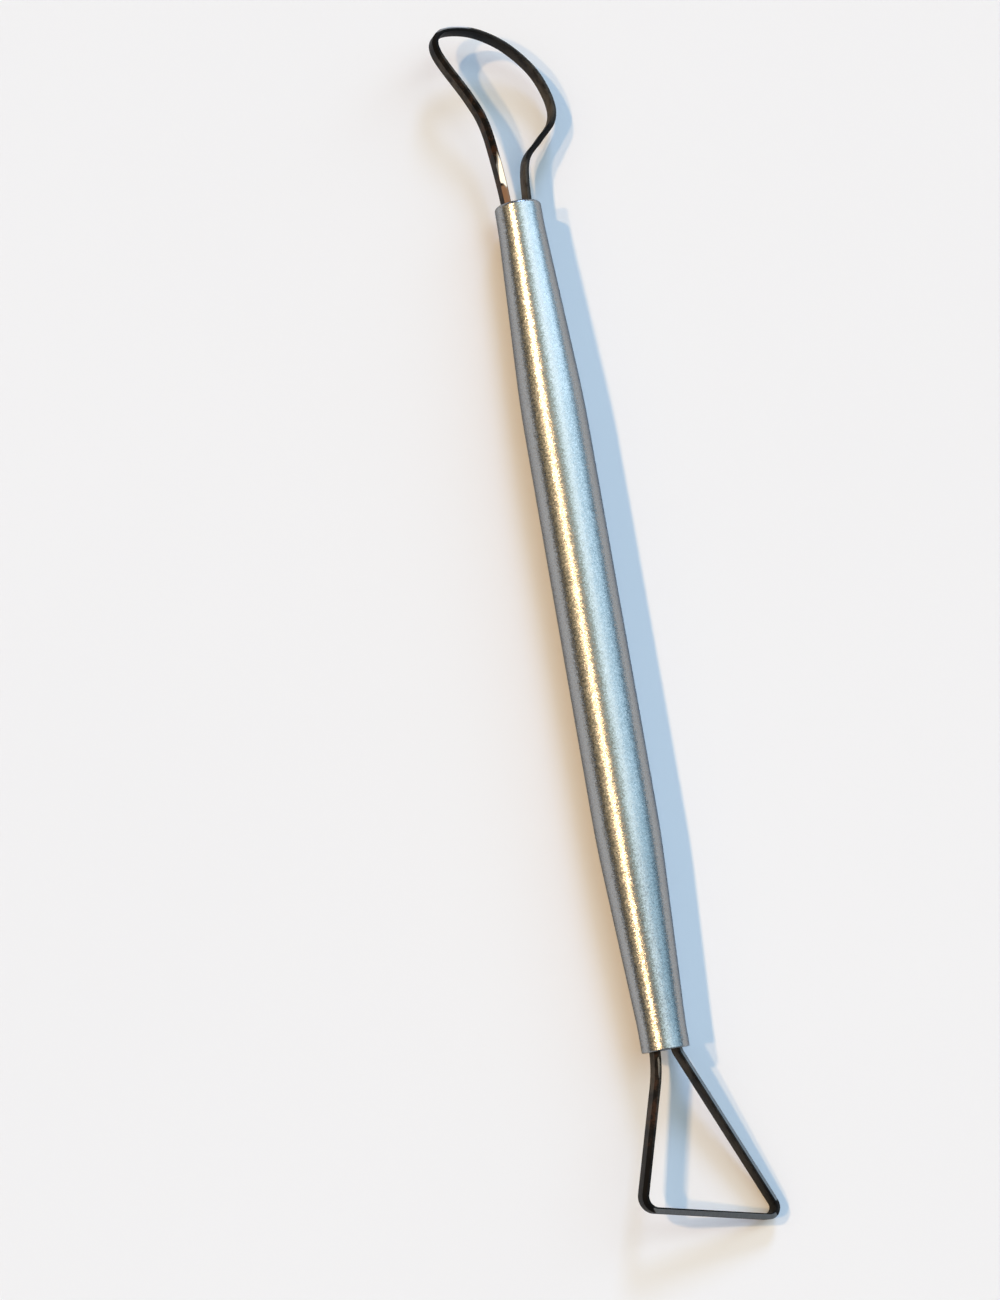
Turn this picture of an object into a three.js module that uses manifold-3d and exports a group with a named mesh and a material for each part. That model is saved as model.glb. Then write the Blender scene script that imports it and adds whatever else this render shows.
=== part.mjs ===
// Double-ended ribbon tool for trimming clay: a tapered aluminium tube with a bent steel
// ribbon set in resin at each end, one bent to a leaf-shaped curve, the other to a triangle.
// Millimetres, +Z up. The handle lies along Y and the tool rests on the table at z = 0.

import * as THREE from 'three';
import { mergeVertices } from 'three/addons/utils/BufferGeometryUtils.js';
import Module from 'manifold-3d';

const wasm = await Module();
wasm.setup();

// Handle tube
const handleLength = 145;
const handleDiameter = 11;
const endDiameter = 8;
const tubeWall = 0.85;
const taperLength = 35;
const landLength = 4;
const shoulderLength = 5;
const rimRound = 0.3;
const tubeSides = 48;

// Flat steel ribbon, on edge, with one edge ground back on the outside of the loop
const ribbonWidth = 3;
const ribbonThickness = 1;
const bevelAcross = 0.55;
const bevelDown = 0.7;

// Ribbon legs in the handle
const legDepth = 12;
const legClearance = 0.3;

// Resin that holds the legs
const resinRecess = 0.8;
const resinUnderLegs = 2;
const resinClearance = 0.3;
const resinSides = 40;

// Triangle: corners across and out from the handle's mouth
const triangleNearCorner = [8.85, 24.6];
const triangleFarCorner = [-15.6, 30.2];
const triangleNearBend = 1.9;
const triangleFarBend = 1.6;

// Where each of its sides would turn into the mouth, and how softly it does
const nearMouthReach = 2.3;
const farMouthReach = 0.35;
const nearMouthBend = 24;
const farMouthBend = 3;

// Leaf curve: points across and out from the mouth, up the bulging side, round the tip
// and back down the hollow side
const leafPoints = [
  [2.8, 7.4],
  [5.8, 11.1],
  [8.7, 14.35],
  [9.15, 18],
  [7.25, 23.3],
  [3.45, 27.8],
  [-0.7, 30.55],
  [-4.8, 31.75],
  [-8.75, 31.3],
  [-9.75, 28],
  [-5.4, 19.7],
  [-3.5, 15],
  [-2.6, 9],
];
const leafMouthReach = 0.5;

// The two loops are a few degrees out of line with each other
const leafTwist = THREE.MathUtils.degToRad(-3);

// The tool rolls on its handle until the triangle's far corner is this far off the table
const cornerLift = 0.03;

// How finely curves are stepped, and how near two points are one
const splineStepsPerPoint = 5;
const bendStep = THREE.MathUtils.degToRad(10);
const wallCurveSteps = 4;
const samePoint = 1e-5;

const aluminium = new THREE.MeshStandardMaterial({ color: 0xb8bab2, roughness: 0.38, metalness: 0.9 });
const blackSteel = new THREE.MeshStandardMaterial({ color: 0x1d1b1a, roughness: 0.45, metalness: 0.6 });
const resin = new THREE.MeshStandardMaterial({ color: 0x3b3833, roughness: 0.6, metalness: 0 });

const endRadius = endDiameter / 2;
const handleRadius = handleDiameter / 2;
const mouthBore = endRadius - tubeWall;

// The outermost place for a leg whose four corners stay clear of the bore
const legReach = Math.sqrt((mouthBore - legClearance) ** 2 - (ribbonWidth / 2) ** 2);
const legOffset = legReach - ribbonThickness / 2;

// Outer radius of the handle at a depth in from its end, without the soft shoulder
function outerRadius(depth) {
  const share = (depth - landLength) / (taperLength - landLength);
  return THREE.MathUtils.lerp(endRadius, handleRadius, THREE.MathUtils.clamp(share, 0, 1));
}

// One wall line of the tube from its middle to its end, with the shoulder rounded off
function wallLine(inset, round) {
  const half = handleLength / 2;
  const shoulder = half - taperLength;
  const coneTop = outerRadius(taperLength - shoulderLength) - inset;
  const line = new THREE.Path();
  line.moveTo(handleRadius - inset, 0);
  line.lineTo(handleRadius - inset, shoulder - shoulderLength);
  line.quadraticCurveTo(handleRadius - inset, shoulder, coneTop, shoulder + shoulderLength);
  line.lineTo(endRadius - inset, half - landLength);
  line.lineTo(endRadius - inset, half - round);
  if (round > 0) {
    line.absarc(endRadius - inset - round, half - round, round, 0, Math.PI / 2, false);
  }
  return line.getPoints(wallCurveSteps);
}

function handleTube() {
  const outer = wallLine(0, rimRound);
  const inner = wallLine(tubeWall, 0).reverse();
  const upper = [...outer, ...inner];
  const lower = upper.map((point) => new THREE.Vector2(point.x, -point.y)).reverse();
  const profile = [...lower, ...upper, lower[0].clone()];
  const distinct = profile.filter((point, i) => i === 0 || point.distanceTo(profile[i - 1]) > samePoint);
  const tube = new THREE.LatheGeometry(distinct, tubeSides);
  // Half a side round, so that one flat faces straight down
  tube.rotateY(Math.PI / tubeSides);
  return tube;
}

// Straight runs joined by a round bend at each corner
function bentPath(corners, bends) {
  const path = new THREE.Path();
  path.moveTo(corners[0].x, corners[0].y);
  bends.forEach((radius, i) => {
    const corner = corners[i + 1];
    const back = corners[i].clone().sub(corner).normalize();
    const ahead = corners[i + 2].clone().sub(corner).normalize();
    const halfAngle = back.angleTo(ahead) / 2;
    const run = radius / Math.tan(halfAngle);
    const start = back.clone().multiplyScalar(run).add(corner);
    const end = ahead.clone().multiplyScalar(run).add(corner);
    const toCentre = back.clone().add(ahead).setLength(radius / Math.sin(halfAngle));
    const centre = corner.clone().add(toCentre);
    const turnsRight = back.cross(ahead) > 0;
    path.lineTo(start.x, start.y);
    const from = start.clone().sub(centre).angle();
    const to = end.clone().sub(centre).angle();
    path.absarc(centre.x, centre.y, radius, from, to, turnsRight);
  });
  path.lineTo(corners.at(-1).x, corners.at(-1).y);
  return path;
}

function stepsFor(piece) {
  if (piece.isSplineCurve) {
    return (piece.points.length - 1) * splineStepsPerPoint;
  }
  if (piece.isEllipseCurve) {
    return Math.max(1, Math.ceil(piece.getLength() / piece.xRadius / bendStep));
  }
  return 1;
}

// A flat line through a path's stations: close together in its bends, far apart on its
// straight runs
class RibbonLine extends THREE.Curve {
  constructor(path) {
    super();
    this.points = [];
    this.tangents = [];
    path.curves.forEach((piece, i) => {
      const steps = stepsFor(piece);
      for (let step = i === 0 ? 0 : 1; step <= steps; step += 1) {
        this.points.push(piece.getPoint(step / steps));
        this.tangents.push(piece.getTangent(step / steps));
      }
    });
    this.steps = this.points.length - 1;
  }

  pick(list, t, target) {
    const { x, y } = list[Math.round(t * this.steps)];
    return target.set(x, y, 0);
  }

  getPoint(t, target = new THREE.Vector3()) {
    return this.pick(this.points, t, target);
  }

  getTangent(t, target = new THREE.Vector3()) {
    return this.pick(this.tangents, t, target);
  }

  getUtoTmapping(u) {
    return u;
  }
}

// The ribbon's section. Across it x runs down from the ground edge, and y runs towards
// the inside of the loop.
function ribbonSection() {
  const edge = ribbonWidth / 2;
  const face = ribbonThickness / 2;
  return new THREE.Shape([
    new THREE.Vector2(-edge, face),
    new THREE.Vector2(-edge, bevelAcross - face),
    new THREE.Vector2(bevelDown - edge, -face),
    new THREE.Vector2(edge, -face),
    new THREE.Vector2(edge, face),
  ]);
}

function ribbon(path) {
  const line = new RibbonLine(path);
  return new THREE.ExtrudeGeometry(ribbonSection(), { steps: line.steps, extrudePath: line });
}

// Both loops are drawn from the handle's mouth, outwards along +Y, and run anticlockwise
function leafPath() {
  const points = [
    [legOffset, -legDepth],
    [legOffset, -leafMouthReach],
    ...leafPoints,
    [-legOffset, -leafMouthReach],
    [-legOffset, -legDepth],
  ];
  const path = new THREE.Path();
  path.curves.push(new THREE.SplineCurve(points.map(([x, y]) => new THREE.Vector2(x, y))));
  return path;
}

function trianglePath() {
  const corners = [
    [legOffset, -legDepth],
    [legOffset, nearMouthReach],
    triangleNearCorner,
    triangleFarCorner,
    [-legOffset, farMouthReach],
    [-legOffset, -legDepth],
  ];
  const bends = [nearMouthBend, triangleNearBend, triangleFarBend, farMouthBend];
  return bentPath(corners.map(([x, y]) => new THREE.Vector2(x, y)), bends);
}

function solidOf(geometry) {
  const bare = geometry.clone();
  bare.deleteAttribute('normal');
  bare.deleteAttribute('uv');
  const merged = mergeVertices(bare, samePoint);
  const vertProperties = new Float32Array(merged.attributes.position.array);
  const triVerts = new Uint32Array(merged.index.array);
  return new wasm.Manifold(new wasm.Mesh({ numProp: 3, vertProperties, triVerts }));
}

function geometryOf(solid) {
  const { vertProperties, triVerts } = solid.getMesh();
  const geometry = new THREE.BufferGeometry();
  geometry.setAttribute('position', new THREE.BufferAttribute(vertProperties, 3));
  geometry.setIndex(new THREE.BufferAttribute(triVerts, 1));
  geometry.computeVertexNormals();
  return geometry;
}

// Resin cast in the cone of the handle's end, with an open slot down each side for a leg
function resinPlug() {
  const depth = legDepth + resinUnderLegs;
  const radiusAt = (d) => outerRadius(d) - tubeWall - resinClearance;
  const profile = [
    new THREE.Vector2(0, -depth),
    new THREE.Vector2(radiusAt(depth), -depth),
    new THREE.Vector2(radiusAt(landLength), -landLength),
    new THREE.Vector2(radiusAt(resinRecess), -resinRecess),
    new THREE.Vector2(0, -resinRecess),
  ];
  const slotLength = 2 * (legDepth + resinClearance);
  const slotHeight = ribbonWidth + 2 * resinClearance;
  const inner = legOffset - ribbonThickness / 2 - resinClearance;
  const slotWidth = handleRadius - inner;
  let plug = solidOf(new THREE.LatheGeometry(profile, resinSides));
  for (const side of [-1, 1]) {
    const slot = new THREE.BoxGeometry(slotWidth, slotLength, slotHeight);
    slot.translate(side * (inner + slotWidth / 2), 0, 0);
    plug = plug.subtract(solidOf(slot));
  }
  return geometryOf(plug);
}

function piece(name, geometry, material) {
  const mesh = new THREE.Mesh(geometry, material);
  mesh.name = name;
  return mesh;
}

// A loop and its resin, in the frame of the mouth that holds them
function handleEnd(loop, plug) {
  const end = new THREE.Group();
  end.add(loop, plug);
  end.position.y = handleLength / 2;
  return end;
}

const leafEnd = handleEnd(
  piece('leaf_loop', ribbon(leafPath()), blackSteel),
  piece('leaf_resin', resinPlug(), resin),
);

const triangleLoop = piece('triangle_loop', ribbon(trianglePath()), blackSteel);
const triangleEnd = handleEnd(triangleLoop, piece('triangle_resin', resinPlug(), resin));

// Roll that brings the far corner's lower edge down to the table, with the handle on its belly
const belly = handleRadius * Math.cos(Math.PI / tubeSides);
triangleLoop.geometry.computeBoundingBox();
const cornerReach = -triangleLoop.geometry.boundingBox.min.x;
const cornerArm = Math.hypot(cornerReach, ribbonWidth / 2);
const roll = Math.asin((belly - cornerLift) / cornerArm) - Math.atan2(ribbonWidth / 2, cornerReach);

const leafSide = new THREE.Group();
leafSide.rotation.y = roll + leafTwist;
leafSide.add(leafEnd);

// Turned half a circle, so that the triangle's end points along -Y
const turned = new THREE.Group();
turned.rotation.z = Math.PI;
turned.add(triangleEnd);
const triangleSide = new THREE.Group();
triangleSide.rotation.y = roll;
triangleSide.add(turned);

const tool = new THREE.Group();
tool.add(piece('handle_tube', handleTube(), aluminium), leafSide, triangleSide);

// The origin is on the table, under the middle of the tool's box
const box = new THREE.Box3().setFromObject(tool, true);
const middle = box.getCenter(new THREE.Vector3());
tool.position.set(-middle.x, -middle.y, -box.min.z);

const placed = new THREE.Group();
placed.add(tool);

export default placed;
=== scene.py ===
# Ribbon tool for trimming clay: a tapered aluminium tube with a bent steel ribbon set in
# resin at each end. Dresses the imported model. Metres, handle along Y, table at z = 0.

import math

import bpy
from mathutils import Matrix, Vector


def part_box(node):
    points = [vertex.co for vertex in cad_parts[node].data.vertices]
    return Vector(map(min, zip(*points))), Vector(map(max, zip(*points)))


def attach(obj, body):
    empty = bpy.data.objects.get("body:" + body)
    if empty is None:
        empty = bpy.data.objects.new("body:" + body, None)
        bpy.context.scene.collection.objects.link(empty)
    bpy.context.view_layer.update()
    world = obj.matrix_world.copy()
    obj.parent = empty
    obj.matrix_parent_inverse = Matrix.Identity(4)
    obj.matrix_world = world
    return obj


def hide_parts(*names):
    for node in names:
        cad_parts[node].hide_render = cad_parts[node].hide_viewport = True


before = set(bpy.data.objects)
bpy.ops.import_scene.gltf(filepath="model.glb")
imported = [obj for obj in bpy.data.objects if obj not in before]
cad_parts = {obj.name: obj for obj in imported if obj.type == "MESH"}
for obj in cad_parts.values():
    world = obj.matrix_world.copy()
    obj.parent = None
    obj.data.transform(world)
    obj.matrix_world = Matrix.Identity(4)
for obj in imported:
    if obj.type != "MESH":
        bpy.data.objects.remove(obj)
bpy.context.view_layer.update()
print("frame loaded:", len(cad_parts), "nodes")

mm = 0.001


# Node graphs

class Wire:
    # One output of a node. Arithmetic on it adds Math nodes, or Vector Math for a vector
    def __init__(self, graph, socket):
        self.graph = graph
        self.socket = socket

    def other(self, name):
        return Wire(self.graph, self.socket.node.outputs[name])

    def apply(self, operation, *values):
        return self.graph.calc(operation, self, *values)

    def __add__(self, value):
        return self.graph.calc("ADD", self, value)

    def __radd__(self, value):
        return self.graph.calc("ADD", value, self)

    def __sub__(self, value):
        return self.graph.calc("SUBTRACT", self, value)

    def __rsub__(self, value):
        return self.graph.calc("SUBTRACT", value, self)

    def __mul__(self, value):
        return self.graph.calc("MULTIPLY", self, value)

    def __rmul__(self, value):
        return self.graph.calc("MULTIPLY", value, self)

    def __truediv__(self, value):
        return self.graph.calc("DIVIDE", self, value)

    def __rtruediv__(self, value):
        return self.graph.calc("DIVIDE", value, self)

    def __neg__(self):
        return self.graph.calc("MULTIPLY", self, -1)

    def __abs__(self):
        return self.graph.calc("ABSOLUTE", self)

    def __gt__(self, value):
        return self.graph.calc("GREATER_THAN", self, value)

    def __lt__(self, value):
        return self.graph.calc("LESS_THAN", self, value)


class Graph:
    def __init__(self, tree):
        self.tree = tree

    def feed(self, socket, value):
        if isinstance(value, Wire):
            self.tree.links.new(value.socket, socket)
        elif socket.type == "RGBA" and len(value) == 3:
            socket.default_value = (*value, 1)
        elif socket.type == "VECTOR" and isinstance(value, (int, float)):
            socket.default_value = (value, value, value)
        else:
            socket.default_value = value

    def add(self, kind, settings=None, values=None, output=0):
        # Makes any node, its settings first, and gives the output asked for if it has one
        node = self.tree.nodes.new(kind)
        for name, value in (settings or {}).items():
            if name == "stops":
                self.setStops(node.color_ramp, value)
            else:
                setattr(node, name, value)
        for name, value in (values or {}).items():
            self.feed(node.inputs[name], value)
        return Wire(self, node.outputs[output]) if len(node.outputs) else None

    def setStops(self, ramp, stops):
        ends = ramp.elements[0], ramp.elements[1]
        for element, (place, colour) in zip(ends, (stops[0], stops[-1])):
            element.position = place
            element.color = (*colour, 1)
        for place, colour in stops[1:-1]:
            ramp.elements.new(place).color = (*colour, 1)

    def calc(self, operation, *values):
        def isVector(value):
            if isinstance(value, Wire):
                return value.socket.type in ("VECTOR", "RGBA")
            return not isinstance(value, (int, float))

        kind = "ShaderNodeVectorMath" if any(map(isVector, values)) else "ShaderNodeMath"
        return self.add(kind, {"operation": operation}, dict(enumerate(values)))

    def join(self, x, y, z):
        return self.add("ShaderNodeCombineXYZ", {}, {"X": x, "Y": y, "Z": z})

    def split(self, vector):
        parts = self.add("ShaderNodeSeparateXYZ", {}, {"Vector": vector})
        return parts, parts.other("Y"), parts.other("Z")

    def blend(self, share, low, high):
        values = {"Factor": share, 6: low, 7: high}    # 6 and 7 are the two colour sockets
        return self.add("ShaderNodeMix", {"data_type": "RGBA"}, values, output=2)

    def noise(self, place, scale, detail, roughness=0.5):
        values = {"Vector": place, "Scale": scale, "Detail": detail, "Roughness": roughness}
        return self.add("ShaderNodeTexNoise", {}, values)

    def ease(self, value, start, end):
        values = {"Value": value, "From Min": start, "From Max": end}
        return self.add("ShaderNodeMapRange", {"interpolation_type": "SMOOTHSTEP"}, values)

    def bump(self, strength, distance, height):
        values = {"Strength": strength, "Distance": distance, "Height": height}
        return self.add("ShaderNodeBump", {}, values)


class ShapeTree(Graph):
    # A Geometry Nodes tree with named inputs. It ends in Realize Instances and Set Material
    kinds = {float: "NodeSocketFloat", int: "NodeSocketInt", Vector: "NodeSocketVector"}

    def __init__(self, name, sizes):
        super().__init__(bpy.data.node_groups.new(name, "GeometryNodeTree"))
        self.sizes = sizes
        self.sockets = {}
        self.newSocket("Geometry", "NodeSocketGeometry", "OUTPUT")
        self.newSocket("Geometry", "NodeSocketGeometry")
        for label, value in sizes.items():
            self.newSocket(label, self.kinds[type(value)])
        self.newSocket("Material", "NodeSocketMaterial")
        self.given = self.add("NodeGroupInput")

    def __getitem__(self, label):
        return self.given.other(label)

    def newSocket(self, label, kind, side="INPUT"):
        self.sockets[label] = self.tree.interface.new_socket(label, in_out=side, socket_type=kind)

    def store(self, geometry, name, value, kind="FLOAT", domain="POINT"):
        settings = {"data_type": kind, "domain": domain}
        values = {"Geometry": geometry, "Name": name, "Value": value}
        return self.add("GeometryNodeStoreNamedAttribute", settings, values)

    def read(self, name, kind="FLOAT"):
        return self.add("GeometryNodeInputNamedAttribute", {"data_type": kind}, {"Name": name})

    def finish(self, geometry):
        real = self.add("GeometryNodeRealizeInstances", {}, {"Geometry": geometry})
        values = {"Geometry": real, "Material": self["Material"]}
        dressed = self.add("GeometryNodeSetMaterial", {}, values)
        self.add("NodeGroupOutput", {}, {"Geometry": dressed})

    def build(self, piece, material):
        # Runs the tree on a piece and keeps its result as a plain mesh
        modifier = piece.modifiers.new(self.tree.name, "NODES")
        modifier.node_group = self.tree
        for label, value in self.sizes.items():
            modifier[self.sockets[label].identifier] = value
        modifier[self.sockets["Material"].identifier] = material
        piece.update_tag()
        graph = bpy.context.evaluated_depsgraph_get()
        mesh = bpy.data.meshes.new_from_object(
            piece.evaluated_get(graph), preserve_all_data_layers=True, depsgraph=graph
        )
        piece.modifiers.clear()
        piece.data = mesh
        mesh.name = piece.name
        return piece


def newPiece(name, points=(), edges=(), faces=()):
    mesh = bpy.data.meshes.new(name)
    mesh.from_pydata([tuple(point) for point in points], edges, faces)
    mesh.update()
    piece = bpy.data.objects.new(name, mesh)
    bpy.context.scene.collection.objects.link(piece)
    return piece


def newMaterial(name):
    material = bpy.data.materials.new(name)
    material.use_nodes = True
    material.node_tree.nodes.clear()
    return material, Graph(material.node_tree)


def finishMaterial(graph, values):
    shader = graph.add("ShaderNodeBsdfPrincipled", {}, values)
    graph.add("ShaderNodeOutputMaterial", {}, {"Surface": shader})


def objectPlace(graph):
    # Object coordinates in millimetres
    return graph.add("ShaderNodeTexCoord").other("Object") * (1 / mm)


# Materials. A noise has a scale, the number of its bumps in a millimetre, then a detail

pearl = {
    "colour": (0.41, 0.415, 0.415),
    "darkColour": (0.355, 0.36, 0.36),
    "edgeTint": (0.32, 0.36, 0.42),
    "roughness": 0.265,
    "roughnessSpread": 0.05,
    "cloud": (0.12, 3),
    "flakeWidth": 0.22,    # millimetres
    "flakeTilt": 0.05,
    "fineness": 2.3,       # how many times narrower the fine flakes are
    "fineTilt": 0.046,
}


def pearlAluminium():
    # A skin of fine metal flakes, each tipped its own way
    material, graph = newMaterial("pearl_aluminium")
    place = objectPlace(graph)
    middle = (0.5, 0.5, 0.5)

    def flakes(scale):
        # A random colour for each flake
        return graph.add("ShaderNodeTexVoronoi", {}, {"Vector": place, "Scale": scale}, output=1)

    cloud = graph.noise(place, *pearl["cloud"])
    flake = flakes(1 / pearl["flakeWidth"])
    fine = flakes(pearl["fineness"] / pearl["flakeWidth"])
    shade, _, gloss = graph.split(flake)
    tilt = (flake - middle) * (2 * pearl["flakeTilt"]) + (fine - middle) * (2 * pearl["fineTilt"])
    normal = graph.add("ShaderNodeNewGeometry").other("Normal")
    finishMaterial(graph, {
        "Base Color": graph.blend(cloud * 0.5 + shade * 0.5, pearl["darkColour"], pearl["colour"]),
        "Metallic": 1,
        "Roughness": pearl["roughness"] + (gloss - 0.5) * pearl["roughnessSpread"] * 2,
        "Specular Tint": pearl["edgeTint"],
        "Normal": (normal + tilt).apply("NORMALIZE"),
    })
    return material


steel = {
    "black": (0.0040, 0.0036, 0.0035),
    "brown": (0.034, 0.014, 0.007),
    "faded": (0.060, 0.053, 0.044),
    "worn": (0.13, 0.125, 0.12),
    "tan": (0.26, 0.15, 0.09),
    "ground": (0.20, 0.215, 0.225),
    "streak": (0.12, 0.13, 0.14),
    "fresh": (0.74, 0.80, 0.88),
    # Where each of them starts and where it is full: shares of a noise, of the strip's width or
    # of the polish in the lists of the ribbons
    "brownRange": (0.56, 0.72),
    "fadedRange": (0.45, 0.85),
    "wornRange": (0.93, 1.02),
    "tanRange": (0.3, 0.7),
    "tanSide": (0.35, 0.7),
    "groundRange": (0.42, 0.58),
    "streakRange": (0.35, 0.65),
    "freshRange": (1.05, 1.25),
    "bareRange": (0.9, 1.3),
    # Noises: scale, detail, roughness
    "blotch": (0.55, 4, 0.6),
    "speck": (3.5, 3, 0.6),
    "grain": (1, 3, 0.6),
    # How often the grain changes along the strip, across its thickness and over its width
    "scratch": (0.35, 6, 14),
    "mark": (9, 0.6, 0.9),
    "relief": 0.02 * mm,
    "roughness": 0.52,
    "roughnessSpread": 0.2,
    "groundSmoother": 0.14,
    "gloss": 0.07,
}


def blackSteel():
    # Black oxide, brown and faded in places, on a strip with one edge ground to bare metal
    material, graph = newMaterial("black_steel")
    place = objectPlace(graph)

    def read(name):
        return graph.add("ShaderNodeAttribute", {"attribute_name": name}, output=2)

    def grain(pace):
        x, y, z = (length * often for length, often in zip((along, outShare, upShare), pace))
        return graph.noise(graph.join(x, y, z), *steel["grain"])

    along = read("along") * (1 / mm)
    outShare, upShare, groundFace = read("outShare"), read("upShare"), read("groundFace")
    blotch = graph.noise(place, *steel["blotch"])
    speck = graph.noise(place, *steel["speck"])
    scratch = grain(steel["scratch"])
    mark = grain(steel["mark"])
    fleck = speck - 0.5

    brown = graph.ease(blotch + fleck * 0.5 + read("rust") * 0.16, *steel["brownRange"])
    oxide = graph.blend(brown, steel["black"], steel["brown"])
    faded = graph.ease(blotch + speck * 0.4, *steel["fadedRange"])
    faded = read("fade") * (1 - groundFace * 0.75) * faded
    oxide = graph.blend(faded, oxide, steel["faded"])
    edge = abs(outShare).apply("MINIMUM", abs(upShare))
    worn = graph.ease(edge + fleck * 0.25, *steel["wornRange"]) * 0.35
    oxide = graph.blend(worn, oxide, steel["worn"])
    tan = read("tan") * graph.ease(upShare, *steel["tanSide"])
    tan = graph.ease(tan + fleck * 0.3, *steel["tanRange"])
    oxide = graph.blend(tan, oxide, steel["tan"])

    bevelShare = read("bevelShare")
    polish = read("polish") * (1 - bevelShare) + read("innerPolish") * bevelShare
    bright = groundFace * graph.ease(polish + fleck * 0.15, *steel["groundRange"])
    streak = graph.ease(mark, *steel["streakRange"]) * 0.4
    brushed = graph.blend(streak, steel["ground"], steel["streak"])
    brushed = graph.blend(graph.ease(polish, *steel["freshRange"]), brushed, steel["fresh"])
    roughness = steel["roughness"] + fleck * steel["roughnessSpread"]
    height = scratch * 0.6 + speck * 0.4 + mark * bright * 0.6
    finishMaterial(graph, {
        "Base Color": graph.blend(bright, oxide, brushed),
        "Metallic": bright * (graph.ease(polish, *steel["bareRange"]) * 0.6 + 0.4),
        "Roughness": roughness - bright * steel["groundSmoother"],
        "Specular IOR Level": steel["gloss"],
        "Normal": graph.bump(0.5, steel["relief"], height),
    })
    return material


resin = {
    "colour": (0.060, 0.052, 0.042),
    "dust": (0.16, 0.145, 0.12),
    "dustRange": (0.45, 0.75),
    "cloud": (0.8, 3),
    "bubbleScale": 2.2,
    "bubbleRange": (0.05, 0.22),
    "relief": 0.05 * mm,
    "roughness": 0.32,
    "roughnessSpread": 0.2,
}


def pottingResin():
    material, graph = newMaterial("potting_resin")
    place = objectPlace(graph)
    cloud = graph.noise(place, *resin["cloud"])
    bubble = graph.add("ShaderNodeTexVoronoi", {}, {"Vector": place, "Scale": resin["bubbleScale"]})
    pit = graph.ease(bubble, *resin["bubbleRange"])
    dust = graph.ease(cloud, *resin["dustRange"])
    finishMaterial(graph, {
        "Base Color": graph.blend(dust, resin["colour"], resin["dust"]),
        "Roughness": resin["roughness"] + cloud * resin["roughnessSpread"],
        "Normal": graph.bump(0.6, resin["relief"], pit + cloud),
    })
    return material


finishes = {
    "handle_aluminium": pearlAluminium(),
    "black_steel": blackSteel(),
    "potting_resin": pottingResin(),
}
print("materials ready")


# Handle

handleLow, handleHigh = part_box("handle_tube")
handleCentre = (handleLow + handleHigh) / 2
handleRadius = (handleHigh.z - handleLow.z) / 2

handle = {
    "length": handleHigh.y - handleLow.y,
    "diameter": 2 * handleRadius,
    "endDiameter": 8 * mm,
    "wall": 0.85 * mm,
    "taperLength": 35 * mm,
    "landLength": 4 * mm,          # the mouth is straight this far
    "shoulder": 5 * mm,            # over this length the taper blends into the middle
    "leafRimRound": 0.55 * mm,
    "triangleRimRound": 0.15 * mm,
    "boreRound": 0.1 * mm,
    "seam": 0.0005 * mm,           # points closer than this are joined
    "sides": 96,
    "rings": 150,
}


def turnedTube():
    # A tube turned about the Y axis, narrowed towards both ends. A grid is wrapped round it:
    # its rows run up the outside, over the rim and back down the bore
    shape = ShapeTree("turnedTube", {
        "Length": handle["length"],
        "Diameter": handle["diameter"],
        "End Diameter": handle["endDiameter"],
        "Wall": handle["wall"],
        "Taper Length": handle["taperLength"],
        "Land Length": handle["landLength"],
        "Shoulder": handle["shoulder"],
        "Leaf Rim Round": handle["leafRimRound"],
        "Triangle Rim Round": handle["triangleRimRound"],
        "Bore Round": handle["boreRound"],
        "Seam": handle["seam"],
        "Sides": handle["sides"],
        "Rings": handle["rings"],
        "Centre": handleCentre,
    })
    rings = shape["Rings"]
    last = rings * 2 + 1    # the bore's last row. One more closes the tube on its first row
    counts = {"Size X": 1, "Size Y": 1, "Vertices X": shape["Sides"] + 1, "Vertices Y": last + 2}
    grid = shape.add("GeometryNodeMeshGrid", {}, counts)
    across, up, _ = shape.split(grid.other("UV Map"))
    row = (up * (last + 1)).apply("ROUND")
    inside = (row > rings + 0.5) * (row < last + 0.5)
    fromStart = row.apply("MINIMUM", (last - row).apply("MAXIMUM", 0))
    run = -(fromStart / rings * math.pi).apply("COSINE") * shape["Length"] / 2
    depth = shape["Length"] / 2 - abs(run)

    endRadius = shape["End Diameter"] / 2
    fullRadius = shape["Diameter"] / 2
    slope = (fullRadius - endRadius) / (shape["Taper Length"] - shape["Land Length"])
    cone = endRadius + (depth - shape["Land Length"]) * slope
    softness = shape["Shoulder"] * slope * 1.5
    body = cone.apply("SMOOTH_MIN", fullRadius, softness)
    body = body.apply("SMOOTH_MAX", endRadius, softness / 3)
    body = body.apply("MINIMUM", fullRadius).apply("MAXIMUM", endRadius)

    def rounding(radius):
        reach = (radius - depth).apply("MAXIMUM", 0)
        return radius - (radius * radius - reach * reach).apply("SQRT")

    atLeaf = run > 0
    rimRound = shape["Leaf Rim Round"] * atLeaf + shape["Triangle Rim Round"] * (1 - atLeaf)
    outer = body - rounding(rimRound)
    inner = body - shape["Wall"] + rounding(shape["Bore Round"])
    radius = outer * (1 - inside) + inner * inside
    angle = across * (2 * math.pi)
    place = shape.join(radius * angle.apply("COSINE"), run, radius * angle.apply("SINE"))
    values = {"Geometry": grid, "Position": place + shape["Centre"]}
    placed = shape.add("GeometryNodeSetPosition", {}, values)
    values = {"Geometry": placed, "Distance": shape["Seam"]}
    closed = shape.add("GeometryNodeMergeByDistance", {}, values)
    values = {"Geometry": closed, "Shade Smooth": True}
    shape.finish(shape.add("GeometryNodeSetShadeSmooth", {}, values))
    return shape


handlePiece = turnedTube().build(newPiece("handle"), finishes["handle_aluminium"])
print("handle:", len(handlePiece.data.polygons), "faces")


# Steel ribbons

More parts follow.
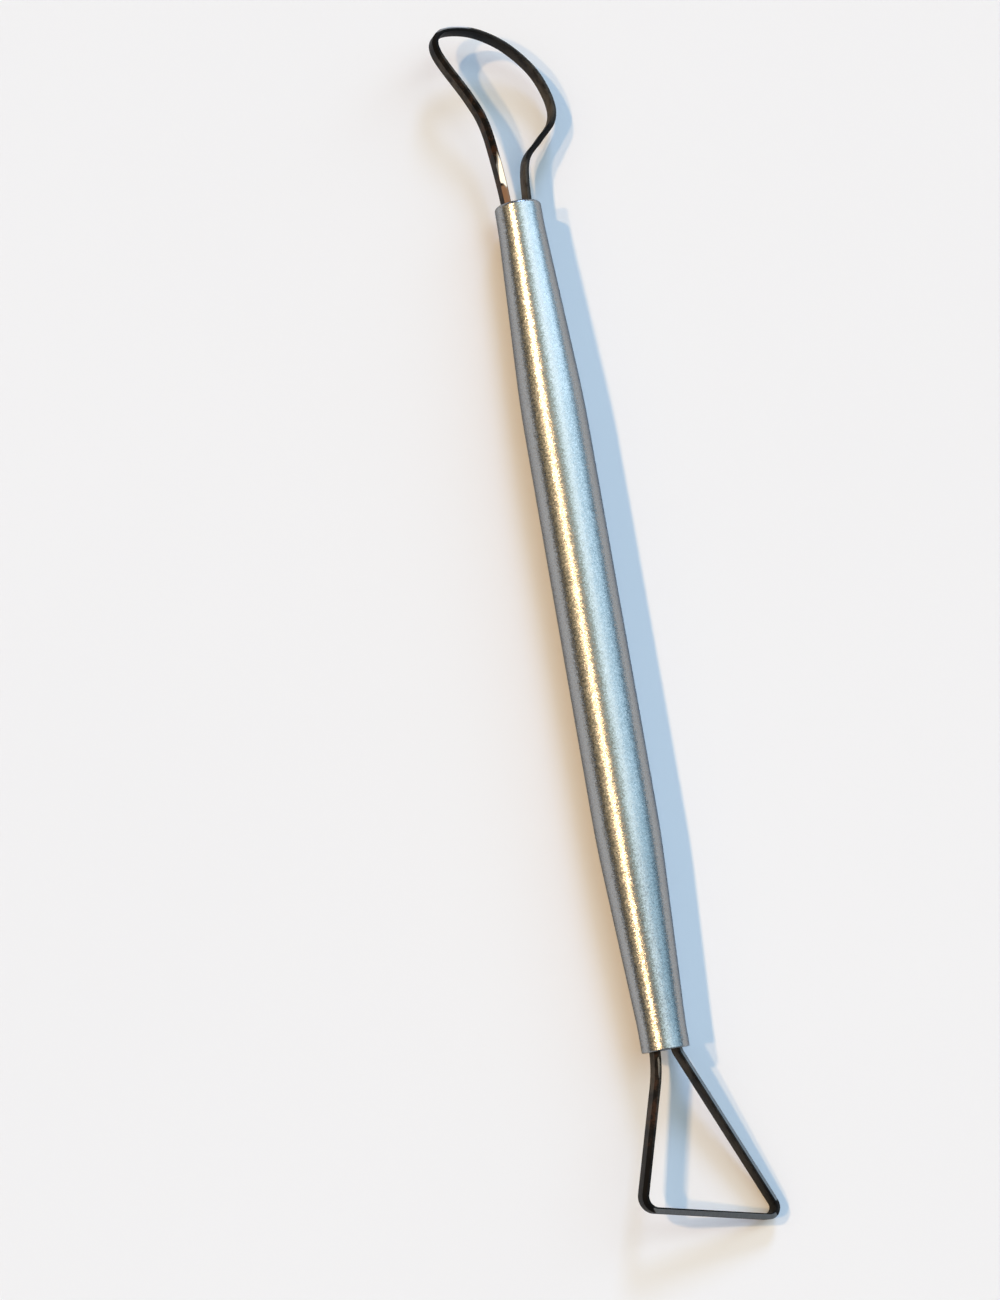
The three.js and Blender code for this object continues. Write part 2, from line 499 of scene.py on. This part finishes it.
ribbon = {
    "width": 3 * mm,
    "thickness": 0.98 * mm,
    "solidThickness": 1 * mm,    # of the CAD's ribbon, which sets how the tool lies
    "edgeRound": 0.14 * mm,
    "sharpEdge": math.radians(35),
    "cornerLift": 0.03 * mm,     # between the triangle's far corner and the table
    "legOffset": 1.9233,         # millimetres, as the rest of this list and those below
    "legDepth": 12,
    "step": 0.3,
}
leg, deep = ribbon["legOffset"], ribbon["legDepth"]

# "curve" and "corners" are places from one end of a ribbon to the other: across, and outwards
# from the mouth. The other lists start with a station, in millimetres along the ribbon from
# the end of its first leg. "bevel" gives (station, across, down), "polish" (station, at the
# outer edge, at the inner edge), the others (station, share)
leaf = {
    "twist": math.radians(-1),
    "curve": [
        (leg, -deep), (leg, -0.5), (2.8, 7.4), (5.8, 11.1), (8.7, 14.35), (9.15, 18), (7.25, 23.3),
        (3.45, 27.8), (-0.7, 30.55), (-4.8, 31.75), (-8.75, 31.3), (-9.75, 28), (-5.4, 19.7),
        (-3.5, 15), (-2.6, 9), (-leg, -0.5), (-leg, -deep),
    ],
    "bevel": [
        (0, 0.55, 0.7), (80.5, 0.55, 0.7), (83, 0.9, 0.45), (86.9, 0.93, 0.45), (88.2, 0.6, 0.7),
        (110, 0.55, 0.7),
    ],
    "polish": [
        (0, 0, 0), (51, 0, 0), (52.5, 1.6, 0.6), (56.5, 1.4, 0.4), (58.5, 0, 0), (77, 0, 0),
        (80.5, -1.5, -0.1), (82.3, -0.6, 1.6), (83.5, 0.5, 2.2), (85.2, 1, 2.6), (86.6, 1.2, 2.6),
        (87.2, -1.4, 2.2), (88.2, -2, -0.2), (110, -1, -0.5),
    ],
    "fade": [
        (0, 1), (19, 1), (21, 0), (27, 0), (30, 1), (38, 0.8), (44, 0.35), (50, 0.15), (56, 0),
        (61, 0), (62.5, 0.75), (66, 1), (70, 0.85), (75, 0.4), (80, 0), (90, 0.2), (110, 0.3),
    ],
    "tan": [(0, 0), (86.8, 0), (87.6, 1), (110, 1)],
    "rust": [(0, -1), (58, -1), (64, 0.2), (74, 0.7), (110, 0.9)],
}

triangle = {
    "corners": [
        (leg, -deep), (leg, 2.3), (8.88, 24.75), (-15.27, 30.12), (-leg, 0.35), (-leg, -deep),
    ],
    "bends": [24, 2.3, 1.5, 3],    # the radius at each corner between the ends
    "bevel": [
        (0, 0.55, 0.7), (37, 0.55, 0.7), (39, 0.72, 0.6), (59, 0.82, 0.5), (60.6, 0.6, 0.6),
        (63, 0.55, 0.3), (130, 0.5, 0.2),
    ],
    "polish": [
        (0, 0, 0), (12.8, 0, 0), (13.2, -0.9, 1.3), (15.5, -1.4, 1.1), (17.5, -1.2, -0.2),
        (19, 0, 0), (37.6, 0, 0), (38, 0.2, 0.6), (40, 1, 1), (59.4, 1, 1),
        (60, -0.5, 0), (61.6, 0.2, 0.2), (62.2, 0.8, 0.8), (64, 1, 0.95), (130, 1, 0.95),
    ],
    "fade": [
        (0, 1), (15, 0.9), (24, 0.35), (36, 0), (64, 0), (68, 0.3), (84, 0.35), (92, 0.6),
        (110, 0.6),
    ],
    "tan": [(0, 0), (130, 0)],
    "rust": [(0, 0), (17, 0.5), (22, 0.7), (27, 0.1), (36, -0.6), (40, -1), (110, -1)],
}


def curveThrough(points, step):
    # A smooth curve through points, as stations a step apart
    stations = []
    for i in range(len(points) - 1):
        before, start = Vector(points[max(i - 1, 0)]), Vector(points[i])
        end, after = Vector(points[i + 1]), Vector(points[min(i + 2, len(points) - 1)])
        startRun, endRun = (end - before) / 2, (after - start) / 2
        bend = (start - end) * 2 + startRun + endRun
        sway = (end - start) * 3 - startRun * 2 - endRun
        count = max(2, round((end - start).length / step))
        for k in range(count):
            t = k / count
            stations.append(bend * t ** 3 + sway * t ** 2 + startRun * t + start)
    stations.append(Vector(points[-1]))
    return stations


def bentThrough(corners, bends, step):
    # Straight runs with a round bend at each corner, as stations a step apart
    stops = [Vector(corners[0])]
    for before, corner, after, radius in zip(corners, corners[1:], corners[2:], bends):
        corner = Vector(corner)
        back = (Vector(before) - corner).normalized()
        ahead = (Vector(after) - corner).normalized()
        half = back.angle(ahead) / 2
        centre = corner + (back + ahead).normalized() * (radius / math.sin(half))
        start = corner + back * (radius / math.tan(half)) - centre
        sweep = math.pi - 2 * half
        turn = math.copysign(sweep, start.y * back.x - start.x * back.y)
        count = max(6, round(radius * sweep / step))
        for k in range(count + 1):
            stops.append(centre + Matrix.Rotation(turn * k / count, 2) @ start)
    stops.append(Vector(corners[-1]))
    stations = []
    for start, end in zip(stops, stops[1:]):
        count = max(1, round((end - start).length / step))
        stations.extend(start.lerp(end, k / count) for k in range(count))
    stations.append(stops[-1])
    return stations


def shareAt(table, station, column):
    # Reads a list of stations, straight between two entries
    for low, high in zip(table, table[1:]):
        if station <= high[0]:
            share = max(0, (station - low[0]) / (high[0] - low[0]))
            return low[column] + (high[column] - low[column]) * share
    return table[-1][column]


def bentRibbon(up):
    # A strip with one edge ground back, swept along a path. Each corner of its section is four
    # points on a rounding, and those of the ground edge lie on its bevel
    shape = ShapeTree("bentRibbon", {
        "Width": ribbon["width"],
        "Thickness": ribbon["thickness"],
        "Edge Round": ribbon["edgeRound"],
        "Sharp Edge": ribbon["sharpEdge"],
        "Up": up,
    })
    each = 4    # points of a corner
    place = shape.add("GeometryNodeInputPosition")
    path = shape.add("GeometryNodeMeshToCurve", {}, {"Mesh": shape["Geometry"]})
    path = shape.store(path, "pathPlace", place, "FLOAT_VECTOR")
    values = {"Resolution": 4 * each, "Radius": mm}
    section = shape.add("GeometryNodeCurvePrimitiveCircle", {}, values)
    section = shape.store(section, "sectionIndex", shape.add("GeometryNodeInputIndex"))
    values = {"Curve": path, "Profile Curve": section, "Fill Caps": True}
    strip = shape.add("GeometryNodeCurveToMesh", {}, values)

    index = shape.read("sectionIndex")
    corner = (index / each + 0.01).apply("FLOOR")    # 0.01 keeps a whole number whole
    share = (index - corner * each) / (each - 1)
    quarter = math.pi / 2
    angle = (corner + share) * quarter
    middle = (corner + 0.5) * quarter
    sideOut = middle.apply("COSINE").apply("SIGN")
    sideUp = middle.apply("SINE").apply("SIGN")
    halfWidth = shape["Width"] / 2
    halfThickness = shape["Thickness"] / 2
    edgeRound = shape["Edge Round"]
    plainOut = sideOut * (halfThickness - edgeRound) + edgeRound * angle.apply("COSINE")
    plainUp = sideUp * (halfWidth - edgeRound) + edgeRound * angle.apply("SINE")
    isGround = corner < 0.5    # the first corner, outside and on top
    bevelOut = halfThickness - shape.read("bevelAcross") * share
    bevelUp = halfWidth - shape.read("bevelDown") * (1 - share)
    out = plainOut * (1 - isGround) + bevelOut * isGround
    rise = plainUp * (1 - isGround) + bevelUp * isGround

    run = shape.read("run", "FLOAT_VECTOR")
    outward = run.apply("CROSS_PRODUCT", shape["Up"]).apply("NORMALIZE")
    place = shape.read("pathPlace", "FLOAT_VECTOR") + outward * out + shape["Up"] * rise
    placed = shape.add("GeometryNodeSetPosition", {}, {"Geometry": strip, "Position": place})
    facts = {
        "outShare": out / halfThickness,
        "upShare": rise / halfWidth,
        "bevelShare": share,
        "isGround": isGround,
    }
    for name, value in facts.items():
        placed = shape.store(placed, name, value)
    groundFace = shape.read("isGround") > 0.9    # all corners of the face are ground
    placed = shape.store(placed, "groundFace", groundFace, domain="FACE")
    values = {"Geometry": placed, "Shade Smooth": True}
    smooth = shape.add("GeometryNodeSetShadeSmooth", {}, values)
    sharp = shape.add("GeometryNodeInputMeshEdgeAngle") > shape["Sharp Edge"]
    values = {"Geometry": smooth, "Selection": sharp, "Shade Smooth": False}
    shape.finish(shape.add("GeometryNodeSetShadeSmooth", {"domain": "EDGE"}, values))
    return shape


def ribbonPiece(name, stations, turn, facts):
    # Stations lie in the mouth's own frame: across, and outwards from the mouth. turn brings
    # them into the tool's frame
    points = [turn @ Vector((x * mm, handle["length"] / 2 + y * mm, 0)) for x, y in stations]
    points = [point + handleCentre for point in points]
    piece = newPiece(name, points, [(i, i + 1) for i in range(len(points) - 1)])
    along = [0]
    for start, end in zip(stations, stations[1:]):
        along.append(along[-1] + (end - start).length)

    def shares(label, column=1, unit=1):
        return [shareAt(facts[label], station, column) * unit for station in along]

    columns = {
        "along": [station * mm for station in along],
        "bevelAcross": shares("bevel", 1, mm),
        "bevelDown": shares("bevel", 2, mm),
        "innerPolish": shares("polish", 2),
        "polish": shares("polish"),
        "fade": shares("fade"),
        "tan": shares("tan"),
        "rust": shares("rust"),
    }
    for label, values in columns.items():
        piece.data.attributes.new(label, "FLOAT", "POINT").data.foreach_set("value", values)
    runs = []
    for i in range(len(points)):
        before, after = points[max(i - 1, 0)], points[min(i + 1, len(points) - 1)]
        runs.extend((after - before).normalized())
    piece.data.attributes.new("run", "FLOAT_VECTOR", "POINT").data.foreach_set("vector", runs)
    bentRibbon(turn @ Vector((0, 0, 1))).build(piece, finishes["black_steel"])
    print(name + ":", round(along[-1], 1), "mm long,", len(piece.data.polygons), "faces")
    return piece


leafStations = curveThrough(leaf["curve"], ribbon["step"])
triangleStations = bentThrough(triangle["corners"], triangle["bends"], ribbon["step"])

# The tool rolls on its handle until the triangle's far corner is just off the table
reach = ribbon["solidThickness"] / 2 - min(station.x for station in triangleStations) * mm
half = ribbon["width"] / 2
lift = handleRadius - ribbon["cornerLift"]
roll = math.asin(lift / math.hypot(reach, half)) - math.atan2(half, reach)
leafTurn = Matrix.Rotation(roll + leaf["twist"], 3, "Y")
triangleTurn = Matrix.Rotation(roll, 3, "Y") @ Matrix.Rotation(math.pi, 3, "Z")

leafPiece = ribbonPiece("leaf_ribbon", leafStations, leafTurn, leaf)
trianglePiece = ribbonPiece("triangle_ribbon", triangleStations, triangleTurn, triangle)


# Resin in both mouths, in millimetres

plug = {
    "recess": 0.8,           # of its surface below the rim
    "depth": 14,
    "radius": 3.14,
    "land": 4,               # the bore is straight this far
    "widening": 1.5 / 31,    # and then widens so much for each millimetre
    "meniscus": 0.45,
    "wallFall": 0.35,        # how soon the climb dies away from the wall and from a leg
    "legFall": 0.3,
    "legHalf": (0.5, 1.5),
    "rings": 14,
    "sides": 72,
}


def plugTop(x, z):
    # How far below the rim the resin's surface is: it climbs the wall and the legs
    halfThickness, halfWidth = plug["legHalf"]
    toWall = plug["radius"] - math.hypot(x, z)
    toLeg = math.hypot(max(abs(abs(x) - leg) - halfThickness, 0), max(abs(z) - halfWidth, 0))
    climb = max(math.exp(-toWall / plug["wallFall"]), math.exp(-toLeg / plug["legFall"]))
    return plug["recess"] - plug["meniscus"] * climb


def resinPiece(name, turn):
    # Rings of points from the middle out to the wall, and one ring at the bottom
    sides, rings = plug["sides"], plug["rings"]

    def circle(radius):
        angles = [2 * math.pi * side / sides for side in range(sides)]
        return [(radius * math.cos(angle), radius * math.sin(angle)) for angle in angles]

    points = [(0, -plugTop(0, 0), 0)]
    for ring in range(1, rings + 1):
        points += [(x, -plugTop(x, z), z) for x, z in circle(plug["radius"] * ring / rings)]
    bottomRadius = plug["radius"] + (plug["depth"] - plug["land"]) * plug["widening"]
    points += [(x, -plug["depth"], z) for x, z in circle(bottomRadius)]

    faces = [(0, 1 + (side + 1) % sides, 1 + side) for side in range(sides)]
    for ring in range(rings):
        inner, outer = 1 + ring * sides, 1 + (ring + 1) * sides
        for side in range(sides):
            after = (side + 1) % sides
            faces.append((inner + side, inner + after, outer + after, outer + side))
    faces.append([1 + rings * sides + side for side in range(sides)])

    centre = Vector((0, handle["length"] / 2, 0))
    placed = [turn @ (Vector(point) * mm + centre) + handleCentre for point in points]
    piece = newPiece(name, placed, (), faces)
    piece.data.materials.append(finishes["potting_resin"])
    piece.data.shade_smooth()
    return piece


leafResin = resinPiece("leaf_mouth_resin", leafTurn)
triangleResin = resinPiece("triangle_mouth_resin", triangleTurn)
print("resin set in both mouths")


# Table, lamps and camera

tableTop = {
    "half": 8,
    "gap": 0.01 * mm,           # under the tool
    "colour": (0.84, 0.845, 0.865),
    "cloudShade": 0.975,
    "cloud": (9, 3),            # its bumps in a metre, and their detail
    "tooth": (900, 2),
    "toothDepth": 0.05 * mm,
    "toothShare": 0.15,
    "roughness": 0.9,
    "gloss": 0.1,
}


def addTable():
    half, level = tableTop["half"], -tableTop["gap"]
    corners = [(-half, -half, level), (half, -half, level), (half, half, level), (-half, half, level)]
    table = newPiece("table", corners, (), [(0, 1, 2, 3)])
    material, graph = newMaterial("pale_table")
    place = graph.add("ShaderNodeTexCoord").other("Object")
    cloud = graph.noise(place, *tableTop["cloud"])
    tooth = graph.noise(place, *tableTop["tooth"])
    shade = tuple(part * tableTop["cloudShade"] for part in tableTop["colour"])
    finishMaterial(graph, {
        "Base Color": graph.blend(cloud, shade, tableTop["colour"]),
        "Roughness": tableTop["roughness"],
        "Specular IOR Level": tableTop["gloss"],
        "Normal": graph.bump(tableTop["toothShare"], tableTop["toothDepth"], tooth),
    })
    table.data.materials.append(material)


light = {
    # Each lamp stands x and y from the tool for each unit of its height, looks so many degrees
    # wide, and adds its colour on the table, where 1 is white
    "lamps": {
        "warm_lamp": (-0.72, 0, 3.2, (0.215, 0.14, 0.071)),
        "second_warm_lamp": (-0.70, 0.44, 3.2, (0.285, 0.191, 0.1)),
        "cool_lamp": (0.55, 1.63, 15, (0.09, 0.135, 0.215)),
    },
    # The room, from the left horizon over the top to the right one, by degrees from overhead
    "room": [
        (-90, (0.06, 0.07, 0.07)), (-76, (0.09, 0.08, 0.06)), (-64, (0.50, 0.38, 0.20)),
        (-52, (0.78, 0.68, 0.46)), (-42, (0.58, 0.53, 0.44)), (-30, (0.17, 0.19, 0.18)),
        (-10, (0.40, 0.48, 0.44)), (0, (0.77, 0.93, 0.84)), (10, (1.64, 2.02, 2.10)),
        (20, (2.05, 2.44, 2.62)), (30, (1.52, 1.93, 2.16)), (36, (1.24, 1.70, 1.99)),
        (48, (1.02, 1.48, 1.80)), (62, (0.95, 1.42, 1.76)), (76, (0.34, 0.59, 0.81)),
        (90, (0.11, 0.22, 0.30)),
    ],
    # Along the handle, from -1 to 1: its brightest place, how far from there it has faded to
    # the colour of the ends and how far it is still full, its level and how fast that rises
    "roomMiddle": 0.17,
    "roomSpread": (0.42, 0.27),
    "roomEnds": (0.13, 0.162, 0.215),
    "roomLevel": 0.93,
    "roomRise": 0.5,
    # Past this place the window on the right grows brighter, by this much of each colour
    "leanStart": 0.15,
    "leanLeast": -0.05,
    "lean": (6.8, 5.4, 5.0),
}


def addLamp(name, x, y, width, colour):
    lamp = bpy.data.lights.new(name, "SUN")
    towards = Vector((x, y, 1))
    lamp.energy = math.pi * max(colour) * towards.length
    lamp.color = [part / max(colour) for part in colour]
    lamp.angle = math.radians(width)
    holder = bpy.data.objects.new(name, lamp)
    holder.rotation_euler = towards.to_track_quat("Z", "Y").to_euler()
    bpy.context.scene.collection.objects.link(holder)


def addWorld():
    # A room that is dim on the left, with a wide soft window high on the right
    world = bpy.data.worlds.new("studio")
    bpy.context.scene.world = world
    world.use_nodes = True
    world.node_tree.nodes.clear()
    graph = Graph(world.node_tree)
    x, y, z = graph.split(graph.add("ShaderNodeTexCoord"))    # the way that a ray goes
    side = x / (x * x + z * z + 1e-6).apply("SQRT")
    stops = [((1 + math.sin(math.radians(angle))) / 2, colour) for angle, colour in light["room"]]
    room = graph.add("ShaderNodeValToRGB", {"stops": stops}, {0: side * 0.5 + 0.5})
    window = side.apply("MAXIMUM", 0).apply("POWER", 2)
    lean = (y - light["leanStart"]).apply("MAXIMUM", light["leanLeast"]) * window
    tint = graph.join(lean, lean, lean) * light["lean"] + (1, 1, 1)
    room = room * tint * (y * light["roomRise"] + light["roomLevel"])
    share = graph.ease(abs(y - light["roomMiddle"]), *light["roomSpread"])
    colour = graph.blend(share, light["roomEnds"], room)
    shader = graph.add("ShaderNodeBackground", {}, {"Color": colour})
    graph.add("ShaderNodeOutputWorld", {}, {"Surface": shader})


view = {
    "turn": math.radians(9.36),
    "tilt": math.radians(8.63),
    "swing": math.radians(-1.87),
    "distance": 544.7 * mm,
    "focal": 3254,                # in pixels of the frame, as the next three
    "frameHeight": 1300,
    "centre": (499.5, 650),
    "handleAt": (589.7, 619.8),
    "sensor": 36,
    "clip": (0.01, 60),
}


def addCamera():
    # Across and down are the photograph's directions on the table
    across = Vector((math.cos(view["turn"]), -math.sin(view["turn"]), 0))
    down = Vector((-math.sin(view["turn"]), -math.cos(view["turn"]), 0))
    up = Vector((0, 0, 1))
    into = -up * math.cos(view["tilt"]) - down * math.sin(view["tilt"])
    below = down * math.cos(view["tilt"]) - up * math.sin(view["tilt"])
    right = across * math.cos(view["swing"]) + into * math.sin(view["swing"])
    into = into * math.cos(view["swing"]) - across * math.sin(view["swing"])
    x, y = (
        (at - centre) / view["focal"] * view["distance"]
        for at, centre in zip(view["handleAt"], view["centre"])
    )
    place = handleCentre - right * x - below * y - into * view["distance"]
    turn = Matrix((right, -below, -into)).transposed()
    camera = bpy.data.cameras.new("camera")
    camera.sensor_fit = "VERTICAL"
    camera.sensor_height = view["sensor"]
    camera.lens = view["focal"] / view["frameHeight"] * view["sensor"]
    camera.clip_start, camera.clip_end = view["clip"]
    holder = bpy.data.objects.new("camera", camera)
    holder.matrix_world = Matrix.Translation(place) @ turn.to_4x4()
    bpy.context.scene.collection.objects.link(holder)
    bpy.context.scene.camera = holder


addTable()
for lampName, facts in light["lamps"].items():
    addLamp(lampName, *facts)
addWorld()
addCamera()
bpy.context.scene.view_settings.view_transform = "Standard"
print("table, lamps and camera placed")


# Which CAD piece each one stands for

for piece, node, slot in (
    (handlePiece, "handle_tube", "handle_aluminium"),
    (leafPiece, "leaf_loop", "black_steel"),
    (trianglePiece, "triangle_loop", "black_steel"),
    (leafResin, "leaf_resin", "potting_resin"),
    (triangleResin, "triangle_resin", "potting_resin"),
):
    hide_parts(node)
    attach(piece, "root")
